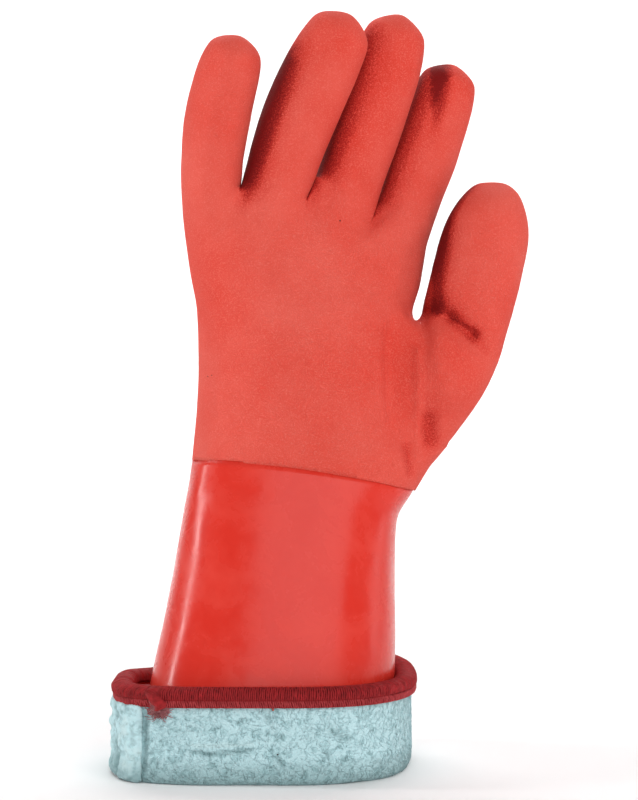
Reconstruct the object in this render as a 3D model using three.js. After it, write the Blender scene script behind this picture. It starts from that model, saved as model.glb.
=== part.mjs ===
// Work glove with a PVC coat over an insulating lining, standing on its turned-back cuff.
// Millimetres, +Z up, the palm faces -Y and the thumb points to +X.
import * as THREE from "three";

// Walls and clearances
const COAT_WALL = 1.3;
const LINING_WALL = 3;
const PIECE_GAP = 0.3;
const LINING_GAP = 0.4;

// Palm, from the wrist line to the fingers
const PALM_WIDTH = 94;
const PALM_DEPTH = 46;
const PALM_LENGTH = 112;
const WRIST_SLOPE = 12.7;

// Fingers and thumb: each has its own length, width and depth
const LITTLE_LENGTH = 66.5;
const LITTLE_WIDTH = 26;
const RING_LENGTH = 80;
const RING_WIDTH = 30;
const MIDDLE_LENGTH = 82;
const MIDDLE_WIDTH = 29;
const INDEX_LENGTH = 71;
const INDEX_WIDTH = 27;
const FINGER_DEPTH = 27;
const WEB_DROP = 3;
const THUMB_LENGTH = 118;
const THUMB_WIDTH = 35;
const THUMB_DEPTH = 32;

// Sleeve, from the wrist line down to the ground
const GAUNTLET_LENGTH = 118;
const GAUNTLET_WIDTH = 98;
const GAUNTLET_DEPTH = 92;

// Turned-back cuff: its height, how far it stands off the sleeve, how far it sags to the left, how far the
// back of its rim rises from left to right, and how much of its fold is pressed flat by its own weight
const CUFF_HEIGHT = 35.5;
const CUFF_SPREAD = 3.1;
const CUFF_SAG = 0.5;
const CUFF_TILT = 6;
const FOLD_PRESS = 0.3;

// Thread edge, seam flap and loose end
const BINDING_WALL = 0.9;
const BINDING_CROWN = 1.45;
const BINDING_OUTSIDE = 5.3;
const BINDING_INSIDE = 3.5;
const FLAP_WALL = 1;
const FLAP_PUCKER = 0.7;
const FLAP_LIFT = 0.45;
const TAIL_WIDTH = 5;
const TAIL_LENGTH = 9;
const TAIL_WALL = 1.6;
const TAIL_LIFT = 0.75;

// Mesh counts: edges across one finger, round its web, and round the sleeve
const ACROSS = 3;
const WEB = 3;
const FINGER_COUNT = 4;
const FLAP_ROWS = 14;
const FLAP_GATHERS = 3.5;
const TAIL_ACROSS = 3;
const FRONT = ACROSS * FINGER_COUNT;
const AROUND = 2 * (FRONT + WEB);
const MITRE_MOST = 1.4;

const degrees = THREE.MathUtils.degToRad;
const mix = THREE.MathUtils.lerp;

// Sections of the palm, upwards from the wrist line. up is a share of PALM_LENGTH, shift and width of
// PALM_WIDTH, twist and depth of PALM_DEPTH, slope of WRIST_SLOPE. corner is the angle at which the side
// begins, left the power of its rounded front left side and right that of the rest.
const PALM_SECTIONS = [
  { up: 0, shift: -0.006, width: 0.965, twist: 0, depth: 1.2, slope: 1, corner: 30, left: 2.5, right: 2.2 },
  { up: 0.075, shift: 0.029, width: 1.018, twist: 0, depth: 1.14, slope: 0.85, corner: 33, left: 2.4, right: 2.2 },
  { up: 0.18, shift: -0.003, width: 0.932, twist: 0.01, depth: 1.09, slope: 0.6, corner: 35, left: 2.3, right: 2.2 },
  { up: 0.285, shift: 0, width: 0.922, twist: 0.02, depth: 1.06, slope: 0.4, corner: 37, left: 2.3, right: 2.2 },
  { up: 0.385, shift: 0.001, width: 0.92, twist: 0.035, depth: 1.03, slope: 0.2, corner: 38, left: 2.3, right: 2.2 },
  { up: 0.48, shift: 0.002, width: 0.922, twist: 0.05, depth: 1, slope: 0.1, corner: 38, left: 2.3, right: 2.2 },
  { up: 0.605, shift: 0.003, width: 0.936, twist: 0.07, depth: 0.96, slope: 0, corner: 38, left: 2.4, right: 2.4 },
  { up: 0.7, shift: 0.002, width: 0.98, twist: 0.1, depth: 0.88, slope: 0.3, corner: 38, left: 2.5, right: 2.5 },
  { up: 0.84, shift: 0.002, width: 1.032, twist: 0.13, depth: 0.8, slope: 0.6, corner: 38, left: 2.7, right: 2.7 },
];
// The rows of the palm between which the thumb grows out of its side
const THUMB_FROM = 1;
const THUMB_TO = 6;

// Fingers, from the little finger to the index. foot is a share of PALM_WIDTH, back of PALM_DEPTH, lift
// and web of PALM_LENGTH, and lean, bow, slope and curl of the finger's own length.
const FINGERS = [
  { length: LITTLE_LENGTH, width: LITTLE_WIDTH, foot: -0.404, back: -0.17, lift: 1, web: 1.038,
    lean: 0.186, bow: -0.05, slope: 0.294, curl: 0.06 },
  { length: RING_LENGTH, width: RING_WIDTH, foot: -0.136, back: -0.11, lift: 0.995, web: 0.985,
    lean: 0.383, bow: -0.044, slope: 0.2, curl: 0.05 },
  { length: MIDDLE_LENGTH, width: MIDDLE_WIDTH, foot: 0.153, back: 0.03, lift: 0.962, web: 0.92,
    lean: 0.302, bow: 0, slope: -0.043, curl: 0.158 },
  { length: INDEX_LENGTH, width: INDEX_WIDTH, foot: 0.416, back: 0.18, lift: 0.9, web: 0.92,
    lean: 0.314, bow: 0.002, slope: -0.2, curl: 0.18 },
];
// Sections of one finger. along is a share of its length, wide and deep of its width and depth.
const FINGER_SECTIONS = [
  { along: 0.14, wide: 0.95, deep: 0.98 },
  { along: 0.27, wide: 0.96, deep: 1 },
  { along: 0.44, wide: 1, deep: 1 },
  { along: 0.62, wide: 1, deep: 0.98 },
  { along: 0.78, wide: 0.97, deep: 0.94 },
  { along: 0.89, wide: 0.87, deep: 0.84 },
  { along: 0.955, wide: 0.68, deep: 0.65 },
];
const TIP_END = 1.004;
const FINGER_ROUND = 2.15;
const FOOT_WIDE = 0.93;
const FOOT_DEEP = 1.12;

// Sections of the thumb. side and up place its middle as shares of THUMB_LENGTH from the palm's side at the
// wrist line, turn is the angle of its section above the horizontal, wide is a share of THUMB_WIDTH, and
// deep and forward of THUMB_DEPTH.
const THUMB_SECTIONS = [
  { side: 0.026, up: 0.301, turn: 80, wide: 1.59, deep: 1.02, forward: 0.02 },
  { side: 0.091, up: 0.3915, turn: 62.7, wide: 1.26, deep: 1.04, forward: 0.05 },
  { side: 0.14, up: 0.487, turn: 39, wide: 1.12, deep: 1.03, forward: 0.06 },
  { side: 0.166, up: 0.572, turn: 26, wide: 1.05, deep: 1, forward: 0.04 },
  { side: 0.195, up: 0.68, turn: 16, wide: 1.04, deep: 1, forward: 0.02 },
  { side: 0.22, up: 0.79, turn: 6, wide: 1.03, deep: 0.97, forward: 0 },
  { side: 0.237, up: 0.882, turn: 4, wide: 0.93, deep: 0.9, forward: 0 },
  { side: 0.246, up: 0.955, turn: 0, wide: 0.7, deep: 0.68, forward: 0 },
];
const THUMB_END = { side: 0.25, up: 1.007, forward: 0 };

// Sections of the sleeve. down is a share of the way from the wrist line to the fold, shift and width are
// shares of GAUNTLET_WIDTH, depth of GAUNTLET_DEPTH and slope of WRIST_SLOPE.
const SLEEVE_SECTIONS = [
  { down: 0.08, shift: -0.039, width: 0.893, depth: 0.66, slope: 0.7, corner: 28, left: 2.6, right: 2.2 },
  { down: 0.164, shift: -0.064, width: 0.888, depth: 0.73, slope: 0.3, corner: 26, left: 2.7, right: 2.2 },
  { down: 0.321, shift: -0.083, width: 0.913, depth: 0.82, slope: 0, corner: 23, left: 2.8, right: 2.2 },
  { down: 0.488, shift: -0.102, width: 0.954, depth: 0.9, slope: 0, corner: 21, left: 2.9, right: 2.2 },
  { down: 0.655, shift: -0.1235, width: 0.996, depth: 0.97, slope: 0, corner: 19, left: 3, right: 2.2 },
  { down: 0.812, shift: -0.143, width: 1.03, depth: 1.01, slope: 0, corner: 19, left: 3.1, right: 2.25 },
  { down: 0.937, shift: -0.153, width: 1.04, depth: 1.03, slope: 0, corner: 19, left: 3.3, right: 2.3 },
];

// Sections of the fold and the cuff. up is a share of the way from the fold to the rim, out a share of
// CUFF_SPREAD beyond the sleeve's last section, sag of CUFF_SAG and tilt of CUFF_TILT.
const CUFF_SECTIONS = [
  { up: 0.03, out: 0.12, sag: 0.4, tilt: 0 },
  { up: 0, out: 0.4, sag: 0.6, tilt: 0 },
  { up: 0, out: 1, sag: 1.6, tilt: 0 },
  { up: 0.04, out: 1.12, sag: 1.3, tilt: 0 },
  { up: 0.28, out: 1.06, sag: 1, tilt: 0.2 },
  { up: 0.6, out: 0.98, sag: 0.9, tilt: 0.6 },
  { up: 0.9, out: 1.1, sag: 1.2, tilt: 1 },
  { up: 1, out: 1.14, sag: 1.6, tilt: 1 },
];
const CUFF_CORNER = 19;
const CUFF_LEFT = 5;
const CUFF_RIGHT = 2.4;
const CUFF_BEHIND = 1.9;

// Folds of the front of the coat. side and toSide are shares of PALM_WIDTH from its middle, up and toUp of
// PALM_LENGTH from the wrist line, reach and push of PALM_DEPTH; a push below nought is a ridge.
const FOLDS = [
  { side: 0.53, up: 0.6, toSide: 0.76, toUp: 0.48, reach: 0.1, push: 0.07 },
  { side: 0.6, up: 0.43, toSide: 0.7, toUp: 0.3, reach: 0.2, push: -0.05 },
  { side: 0.53, up: 0.12, toSide: 0.56, toUp: 0.2, reach: 0.09, push: 0.06 },
  { side: 0.484, up: 0.1, toSide: 0.484, toUp: 0.4, reach: 0.08, push: -0.03 },
  { side: 0.1, up: 0.55, toSide: -0.1, toUp: 0.75, reach: 0.35, push: -0.03 },
];

// The surface of the coat: points, and faces of four that are tagged with their piece
const points = [];
const faces = [];

function addPoint(x, y, z) {
  points.push(new THREE.Vector3(x, y, z));
  return points.length - 1;
}

function addFace(piece, corners) {
  faces.push({ piece, corners });
}

function joinRings(piece, from, to) {
  for (let i = 0; i < from.length; i += 1) {
    const next = (i + 1) % from.length;
    addFace(piece, [from[i], from[next], to[next], to[i]]);
  }
}

// A rounded outline of the given half sizes at an angle in degrees. Power 2 is an ellipse, and a higher
// power is squarer; left is the power towards the front left, behind towards the back left.
function outline(angle, halfWidth, halfDepth, left, right, behind) {
  const c = Math.cos(degrees(angle));
  const s = Math.sin(degrees(angle));
  const power = mix(right, s > 0 ? behind : left, (1 - c) / 2);
  const reach = (Math.abs(c) ** power + Math.abs(s) ** power) ** (-1 / power);
  return new THREE.Vector2(halfWidth * reach * c, halfDepth * reach * s);
}

// The angle of each point round the sleeve: along the front from left to right, then the thumb's side
function ringAngle(j, corner) {
  if (j <= FRONT) return 180 + corner + ((180 - 2 * corner) * j) / FRONT;
  if (j < FRONT + WEB) return 360 - corner + (2 * corner * (j - FRONT)) / WEB;
  if (j <= 2 * FRONT + WEB) return corner + ((180 - 2 * corner) * (j - FRONT - WEB)) / FRONT;
  return 180 - corner + (2 * corner * (j - 2 * FRONT - WEB)) / WEB;
}

function sleeveRing(place) {
  const ring = [];
  for (let j = 0; j < AROUND; j += 1) {
    const flat = outline(ringAngle(j, place.corner), place.halfWidth, place.halfDepth, place.left, place.right,
      place.behind);
    const share = flat.x / place.halfWidth;
    const fall = place.slope * (((1 + share) / 2) ** 2 - 0.5);
    const rise = (place.tilt * share * Math.max(flat.y, 0)) / place.halfDepth;
    ring.push(addPoint(place.x + flat.x, flat.y + place.twist * share, place.z - fall + rise));
  }
  return ring;
}

// Fills the ring at a tip with a grid that is raised towards the tip
function closeTip(piece, ring, columns, rows, tip) {
  const grid = [];
  for (let v = 0; v <= rows; v += 1) grid.push(new Array(columns + 1));
  for (let i = 0; i < columns; i += 1) {
    grid[0][i] = ring[i];
    grid[rows][columns - i] = ring[columns + rows + i];
  }
  for (let i = 0; i < rows; i += 1) {
    grid[i][columns] = ring[columns + i];
    grid[rows - i][0] = ring[2 * columns + rows + i];
  }
  const middle = new THREE.Vector3();
  ring.forEach((id) => middle.addScaledVector(points[id], 1 / ring.length));
  const rise = tip.clone().sub(middle);
  for (let v = 1; v < rows; v += 1) {
    for (let u = 1; u < columns; u += 1) {
      const a = u / columns;
      const b = v / rows;
      const across = points[grid[v][0]].clone().lerp(points[grid[v][columns]], a);
      const along = points[grid[0][u]].clone().lerp(points[grid[rows][u]], b);
      const high = (1 - (2 * a - 1) ** 2) * (1 - (2 * b - 1) ** 2);
      const p = across.lerp(along, 0.5).addScaledVector(rise, Math.sqrt(high));
      grid[v][u] = addPoint(p.x, p.y, p.z);
    }
  }
  for (let v = 0; v < rows; v += 1) {
    for (let u = 0; u < columns; u += 1) {
      addFace(piece, [grid[v][u], grid[v][u + 1], grid[v + 1][u + 1], grid[v + 1][u]]);
    }
  }
}

// Heights: the fold's underside rests on the ground at nought
const wallTotal = COAT_WALL + LINING_GAP + LINING_WALL;
const foldHeight = wallTotal - FOLD_PRESS;
const wristHeight = GAUNTLET_LENGTH;

// Palm, from the wrist line up
const palmRings = PALM_SECTIONS.map((row) =>
  sleeveRing({
    ...row,
    x: row.shift * PALM_WIDTH,
    z: wristHeight + row.up * PALM_LENGTH,
    halfWidth: (row.width * PALM_WIDTH) / 2,
    halfDepth: (row.depth * PALM_DEPTH) / 2,
    twist: row.twist * PALM_DEPTH,
    behind: row.right,
    slope: row.slope * WRIST_SLOPE,
    tilt: 0,
  }),
);

// The middle of a finger at a share of its length
function fingerMiddle(finger, along) {
  const sideways = finger.lean * along + 4 * finger.bow * along * (1 - along);
  const forward = finger.slope * along + finger.curl * along * along;
  const rise = Math.sqrt(1 - finger.lean ** 2 - (finger.slope + finger.curl) ** 2);
  return new THREE.Vector3(
    finger.foot * PALM_WIDTH + sideways * finger.length,
    finger.back * PALM_DEPTH - forward * finger.length,
    wristHeight + finger.lift * PALM_LENGTH + rise * along * finger.length,
  );
}

// The corners of a finger's section, from its front left corner round by its right side
function fingerOutline(finger, along, wide, deep) {
  const middle = fingerMiddle(finger, along);
  const step = 0.02;
  const axis = fingerMiddle(finger, along + step).sub(fingerMiddle(finger, along - step)).normalize();
  const side = new THREE.Vector3(0, 1, 0).cross(axis).normalize();
  const back = axis.clone().cross(side);
  const corners = [];
  for (let i = 0; i < 2 * (ACROSS + WEB); i += 1) {
    const flat = outline(-135 + (360 * i) / (2 * (ACROSS + WEB)), (wide * finger.width) / 2,
      (deep * FINGER_DEPTH) / 2, FINGER_ROUND, FINGER_ROUND, FINGER_ROUND);
    corners.push(middle.clone().addScaledVector(side, flat.x).addScaledVector(back, flat.y));
  }
  return corners;
}

// Feet of the fingers: neighbours share the points of the web between them
const feet = FINGERS.map((finger) => fingerOutline(finger, 0, FOOT_WIDE, FOOT_DEEP));
const webHeights = FINGERS.slice(0, -1).map((finger) => wristHeight + finger.web * PALM_LENGTH);
function sharedPoint(k, right, left, drop) {
  const p = feet[k][right].clone().lerp(feet[k + 1][left], 0.5);
  return addPoint(p.x, p.y, webHeights[k] - drop);
}
const webs = webHeights.map((_, k) => [
  sharedPoint(k, 3, 0, WEB_DROP),
  sharedPoint(k, 4, 11, 0),
  sharedPoint(k, 5, 10, 0),
  sharedPoint(k, 6, 9, WEB_DROP),
]);
const own = (k, i) => addPoint(feet[k][i].x, feet[k][i].y, feet[k][i].z);
const lastFinger = FINGER_COUNT - 1;
const outerLeft = [9, 10, 11, 0].map((i) => own(0, i));
const outerRight = [3, 4, 5, 6].map((i) => own(lastFinger, i));
const fingerFeet = FINGERS.map((_, k) => {
  const right = k === lastFinger ? outerRight : webs[k];
  const left = k === 0 ? outerLeft : [...webs[k - 1]].reverse();
  return [left[3], own(k, 1), own(k, 2), right[0], right[1], right[2], right[3], own(k, 7), own(k, 8),
    left[0], left[1], left[2]];
});

// The palm's last ring runs along the fronts of the feet, round the index and back along their backs
const footRing = [];
fingerFeet.forEach((ring) => footRing.push(ring[0], ring[1], ring[2]));
footRing.push(...outerRight.slice(0, WEB));
[...fingerFeet].reverse().forEach((ring) => footRing.push(ring[6], ring[7], ring[8]));
footRing.push(...outerLeft.slice(0, WEB));

for (let row = 0; row < palmRings.length; row += 1) {
  const above = row + 1 < palmRings.length ? palmRings[row + 1] : footRing;
  for (let j = 0; j < AROUND; j += 1) {
    const next = (j + 1) % AROUND;
    const underThumb = j >= FRONT && j < FRONT + WEB && row >= THUMB_FROM && row < THUMB_TO;
    if (!underThumb) {
      addFace("hand", [palmRings[row][j], palmRings[row][next], above[next], above[j]]);
    }
  }
}

// Fingers
FINGERS.forEach((finger, k) => {
  let ring = fingerFeet[k];
  FINGER_SECTIONS.forEach((row) => {
    const next = fingerOutline(finger, row.along, row.wide, row.deep).map((p) => addPoint(p.x, p.y, p.z));
    joinRings("hand", ring, next);
    ring = next;
  });
  closeTip("hand", ring, ACROSS, WEB, fingerMiddle(finger, TIP_END));
});

// Thumb: its first ring is the edge of the patch that the palm leaves open
const thumbRows = THUMB_TO - THUMB_FROM;
const patch = [];
for (let i = 0; i < WEB; i += 1) patch.push(palmRings[THUMB_TO][FRONT + WEB - i]);
for (let i = 0; i < thumbRows; i += 1) patch.push(palmRings[THUMB_TO - i][FRONT]);
for (let i = 0; i < WEB; i += 1) patch.push(palmRings[THUMB_FROM][FRONT + i]);
for (let i = 0; i < thumbRows; i += 1) patch.push(palmRings[THUMB_FROM + i][FRONT + WEB]);

const thumbStart = PALM_WIDTH / 2;
function thumbMiddle(row) {
  return new THREE.Vector3(
    thumbStart + row.side * THUMB_LENGTH,
    -row.forward * THUMB_DEPTH,
    wristHeight + row.up * THUMB_LENGTH,
  );
}
let thumbRing = patch;
THUMB_SECTIONS.forEach((row) => {
  const middle = thumbMiddle(row);
  const inner = new THREE.Vector3(-Math.cos(degrees(row.turn)), 0, Math.sin(degrees(row.turn)));
  const next = patch.map((_, i) => {
    const flat = outline(180 * (WEB / patch.length) - (360 * i) / patch.length,
      (row.wide * THUMB_WIDTH) / 2, (row.deep * THUMB_DEPTH) / 2, FINGER_ROUND, FINGER_ROUND, FINGER_ROUND);
    const p = middle.clone().addScaledVector(inner, flat.x);
    return addPoint(p.x, p.y + flat.y, p.z);
  });
  joinRings("hand", thumbRing, next);
  thumbRing = next;
});
closeTip("hand", thumbRing, WEB, thumbRows, thumbMiddle(THUMB_END));

// Sleeve, from the wrist line down to the fold
const sleevePlaces = SLEEVE_SECTIONS.map((row) => ({
  ...row,
  x: row.shift * GAUNTLET_WIDTH,
  z: mix(wristHeight, foldHeight, row.down),
  halfWidth: (row.width * GAUNTLET_WIDTH) / 2,
  halfDepth: (row.depth * GAUNTLET_DEPTH) / 2,
  twist: 0,
  behind: row.right,
  slope: row.slope * WRIST_SLOPE,
  tilt: 0,
}));
const sleeveRings = sleevePlaces.map(sleeveRing);
// Cuff, from the fold up to the rim
const sleeveEnd = sleevePlaces[sleevePlaces.length - 1];
const cuffRings = CUFF_SECTIONS.map((row) =>
  sleeveRing({
    x: sleeveEnd.x - row.sag * CUFF_SAG,
    z: mix(foldHeight, CUFF_HEIGHT, row.up),
    halfWidth: sleeveEnd.halfWidth + row.out * CUFF_SPREAD,
    halfDepth: sleeveEnd.halfDepth + row.out * CUFF_SPREAD,
    twist: 0,
    slope: 0,
    tilt: row.tilt * CUFF_TILT,
    corner: CUFF_CORNER,
    left: CUFF_LEFT,
    right: CUFF_RIGHT,
    behind: CUFF_BEHIND,
  }),
);
const downward = [palmRings[0], ...sleeveRings, ...cuffRings];
for (let row = 0; row + 1 < downward.length; row += 1) joinRings("sleeve", downward[row + 1], downward[row]);
const rim = cuffRings[cuffRings.length - 1];

// The way into the coat at each point: against its normal, and longer where its faces turn sharply, so
// that a wall keeps its thickness
function inwardWays() {
  const turns = faces.map(({ corners }) => {
    const [a, b, c, d] = corners.map((id) => points[id]);
    return c.clone().sub(a).cross(d.clone().sub(b)).normalize();
  });
  const ways = points.map(() => new THREE.Vector3());
  faces.forEach(({ corners }, i) => corners.forEach((id) => ways[id].sub(turns[i])));
  ways.forEach((way) => way.normalize());
  const spread = points.map(() => 1);
  faces.forEach(({ corners }, i) => {
    corners.forEach((id) => {
      spread[id] = Math.min(spread[id], -ways[id].dot(turns[i]));
    });
  });
  return ways.map((way, id) => way.divideScalar(Math.max(spread[id], 1 / MITRE_MOST)));
}

// Presses the folds into the front of the coat
const plainWays = inwardWays();
points.forEach((p, id) => {
  if (plainWays[id].y < 0) return;
  let push = 0;
  FOLDS.forEach((fold) => {
    const start = new THREE.Vector2(fold.side * PALM_WIDTH, wristHeight + fold.up * PALM_LENGTH);
    const end = new THREE.Vector2(fold.toSide * PALM_WIDTH, wristHeight + fold.toUp * PALM_LENGTH);
    const run = end.clone().sub(start);
    const here = new THREE.Vector2(p.x, p.z);
    const share = THREE.MathUtils.clamp(here.clone().sub(start).dot(run) / run.lengthSq(), 0, 1);
    const away = here.distanceTo(start.addScaledVector(run, share)) / (fold.reach * PALM_DEPTH);
    push += fold.push * PALM_DEPTH * Math.exp(-away * away);
  });
  p.addScaledVector(plainWays[id], push);
});
const ways = inwardWays();

// A point under the coat at a depth below its outside; what would lie below the ground is flattened there
function under(id, depth) {
  const p = points[id].clone().addScaledVector(ways[id], depth);
  if (p.z < 2 * FOLD_PRESS) p.z = 0;
  return p;
}

// Makes one closed mesh from faces of points
const group = new THREE.Group();
const finishes = {
  rough_pvc: { color: 0xe5564b, roughness: 0.85 },
  smooth_pvc: { color: 0xe04135, roughness: 0.4 },
  felt: { color: 0xb5cfcf, roughness: 0.95 },
  thread: { color: 0x8e1b22, roughness: 0.7 },
};
function addMesh(name, finish, positions, polygons) {
  const index = [];
  polygons.forEach((corners) => {
    for (let i = 1; i + 1 < corners.length; i += 1) index.push(corners[0], corners[i], corners[i + 1]);
  });
  const geometry = new THREE.BufferGeometry().setFromPoints(positions);
  geometry.setIndex(index);
  geometry.computeVertexNormals();
  const mesh = new THREE.Mesh(geometry, new THREE.MeshStandardMaterial(finishes[finish]));
  mesh.name = name;
  group.add(mesh);
}

// A wall between two depths under the coat, closed along the open edges of its faces
function addWall(name, finish, pieces, outside, inside, place) {
  const used = faces.filter((face) => pieces.includes(face.piece));
  const ids = [...new Set(used.flatMap((face) => face.corners))];
  const order = new Map(ids.map((id, i) => [id, i]));
  const positions = [...ids.map((id) => place(id, outside)), ...ids.map((id) => place(id, inside))];
  const polygons = [];
  const edges = new Map();
  used.forEach(({ corners }) => {
    const mine = corners.map((id) => order.get(id));
    const [a, b, c, d] = mine;
    polygons.push(mine, [a, d, c, b].map((i) => i + ids.length));
    mine.forEach((from, i) => {
      const to = mine[(i + 1) % mine.length];
      if (!edges.delete(`${to} ${from}`)) edges.set(`${from} ${to}`, [from, to]);
    });
  });
  edges.forEach(([from, to]) => polygons.push([to, from, from + ids.length, to + ids.length]));
  addMesh(name, finish, positions, polygons);
}

const wristRing = new Map(palmRings[0].map((id, j) => [id, sleeveRings[0][j]]));
function sleevePlace(id, depth) {
  const p = under(id, depth);
  if (!wristRing.has(id)) return p;
  const below = under(wristRing.get(id), depth);
  return p.add(below.sub(p).setLength(PIECE_GAP));
}
const liningTop = COAT_WALL + LINING_GAP;
addWall("hand_coat", "rough_pvc", ["hand"], 0, COAT_WALL, under);
addWall("gauntlet_coat", "smooth_pvc", ["sleeve"], 0, COAT_WALL, sleevePlace);
addWall("liner", "felt", ["hand", "sleeve"], liningTop, liningTop + LINING_WALL, under);

// Thread edge: a channel over the rim, long on the lining's side and short on the coat's side
const rimBelow = cuffRings[cuffRings.length - 2];
function rimPoint(j, depth, lower) {
  const top = under(rim[j], depth);
  const down = under(rimBelow[j], depth).sub(top).normalize();
  return top.addScaledVector(down, lower);
}
const insideFace = -PIECE_GAP;
const outsideFace = wallTotal + PIECE_GAP;
const CHANNEL = [
  { depth: insideFace, lower: BINDING_INSIDE },
  { depth: insideFace, lower: -PIECE_GAP },
  { depth: outsideFace, lower: -PIECE_GAP },
  { depth: outsideFace, lower: BINDING_OUTSIDE },
  { depth: outsideFace + BINDING_WALL, lower: BINDING_OUTSIDE },
  { depth: outsideFace + BINDING_WALL, lower: -PIECE_GAP },
  { depth: wallTotal / 2, lower: -PIECE_GAP - BINDING_CROWN },
  { depth: insideFace - BINDING_WALL, lower: -PIECE_GAP },
  { depth: insideFace - BINDING_WALL, lower: BINDING_INSIDE },
];
const bindingPoints = [];
const bindingFaces = [];
for (let j = 0; j < AROUND; j += 1) {
  CHANNEL.forEach((corner) => bindingPoints.push(rimPoint(j, corner.depth, corner.lower)));
}
for (let j = 0; j < AROUND; j += 1) {
  for (let c = 0; c < CHANNEL.length; c += 1) {
    const nextC = (c + 1) % CHANNEL.length;
    const here = j * CHANNEL.length;
    const there = ((j + 1) % AROUND) * CHANNEL.length;
    bindingFaces.push([here + c, there + c, there + nextC, here + nextC]);
  }
}
addMesh("rim_binding", "thread", bindingPoints, bindingFaces);

// A point on the outside of the cuff: around is in ring points from the front left corner, and may be a
// fraction, up a share of the way from the fold to the rim, and out the distance above the lining
function cuffPoint(around, up, out) {
  const rows = CUFF_SECTIONS.map((row) => row.up);
  let row = 2;
  while (row + 2 < rows.length && rows[row + 1] < up) row += 1;
  const share = (up - rows[row]) / (rows[row + 1] - rows[row]);
  const left = (Math.floor(around) + AROUND) % AROUND;
  const right = (left + 1) % AROUND;
  const part = around - Math.floor(around);
  const at = (ring) => under(ring[left], wallTotal + out).lerp(under(ring[right], wallTotal + out), part);
  return at(cuffRings[row]).lerp(at(cuffRings[row + 1]), share);
}

// A closed plate on the cuff: at gives its point at shares of its width and height, under or over
function addPlate(name, finish, columns, rows, at) {
  const positions = [];
  const layers = [0, 1];
  layers.forEach((layer) => {
    for (let v = 0; v <= rows; v += 1) {
      for (let u = 0; u <= columns; u += 1) positions.push(at(u / columns, v / rows, layer));
    }
  });
  const id = (u, v, layer) => (layer * (rows + 1) + v) * (columns + 1) + u;
  const polygons = [];
  for (let v = 0; v < rows; v += 1) {
    for (let u = 0; u < columns; u += 1) {
      const corners = [[u, v], [u + 1, v], [u + 1, v + 1], [u, v + 1]];
      polygons.push(corners.map(([a, b]) => id(a, b, 1)));
      polygons.push(corners.map(([a, b]) => id(a, b, 0)).reverse());
    }
  }
  for (let u = 0; u < columns; u += 1) {
    polygons.push([id(u, 0, 0), id(u + 1, 0, 0), id(u + 1, 0, 1), id(u, 0, 1)]);
    polygons.push([id(u + 1, rows, 0), id(u, rows, 0), id(u, rows, 1), id(u + 1, rows, 1)]);
  }
  for (let v = 0; v < rows; v += 1) {
    polygons.push([id(0, v + 1, 0), id(0, v, 0), id(0, v, 1), id(0, v + 1, 1)]);
    polygons.push([id(columns, v, 0), id(columns, v + 1, 0), id(columns, v + 1, 1), id(columns, v, 1)]);
  }
  addMesh(name, finish, positions, polygons);
}

// Seam flap: a strip of lining that is gathered along its stitches, on the front left of the cuff
const ringPitch = points[rim[0]].distanceTo(points[rim[1]]);
const cuffRise = CUFF_HEIGHT - foldHeight;
const FLAP_COLUMNS = [-1, 0, 1, 2, 2.4];
const FLAP_FOOT = 0.05;
const flapTop = 1 - (BINDING_OUTSIDE + PIECE_GAP) / cuffRise;
addPlate("seam_flap", "felt", FLAP_COLUMNS.length - 1, FLAP_ROWS, (u, v, layer) => {
  const around = FLAP_COLUMNS[Math.round(u * (FLAP_COLUMNS.length - 1))];
  const wave = 0.5 + 0.5 * Math.sin(2 * Math.PI * FLAP_GATHERS * v);
  const pucker = FLAP_PUCKER * wave * Math.sin(Math.PI * u);
  return cuffPoint(around, mix(FLAP_FOOT, flapTop, v), FLAP_LIFT + layer * (FLAP_WALL + pucker));
});

// Loose end of the thread edge: it hangs over the binding and ends in a tuft. down is a share of its length,
// side and wide of its width, and thick of its wall.
const TAIL_FROM = 2.5;
const TAIL_SECTIONS = [
  { down: 0, side: 0, wide: 0.8, thick: 0.7 },
  { down: 0.3, side: 0.5, wide: 0.85, thick: 0.8 },
  { down: 0.5, side: 0.85, wide: 0.9, thick: 1 },
  { down: 0.68, side: 0.75, wide: 1.4, thick: 1.5 },
  { down: 0.88, side: 0.7, wide: 1.55, thick: 1.6 },
  { down: 1, side: 0.7, wide: 1.1, thick: 1.1 },
];
addPlate("binding_tail", "thread", TAIL_ACROSS, TAIL_SECTIONS.length - 1, (u, v, layer) => {
  const row = TAIL_SECTIONS[Math.round((1 - v) * (TAIL_SECTIONS.length - 1))];
  const around = TAIL_FROM + ((row.side + (u - 0.5) * row.wide) * TAIL_WIDTH) / ringPitch;
  const up = 1 - (row.down * TAIL_LENGTH) / cuffRise;
  const crown = 0.6 + 0.4 * Math.sin(Math.PI * u);
  return cuffPoint(around, up, BINDING_WALL + TAIL_LIFT + layer * row.thick * TAIL_WALL * crown);
});

// Stand the glove on its fold, with the middle of its box over the origin
const box = new THREE.Box3().setFromObject(group);
group.children.forEach((mesh) => {
  mesh.geometry.translate(-(box.min.x + box.max.x) / 2, -(box.min.y + box.max.y) / 2, -box.min.z);
});

export default group;
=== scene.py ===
"""One PVC coated work glove that stands on its turned-back cuff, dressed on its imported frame."""
import math

import bmesh
import bpy
import numpy as np
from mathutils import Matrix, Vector, noise
from mathutils.bvhtree import BVHTree
from mathutils.kdtree import KDTree


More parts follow.
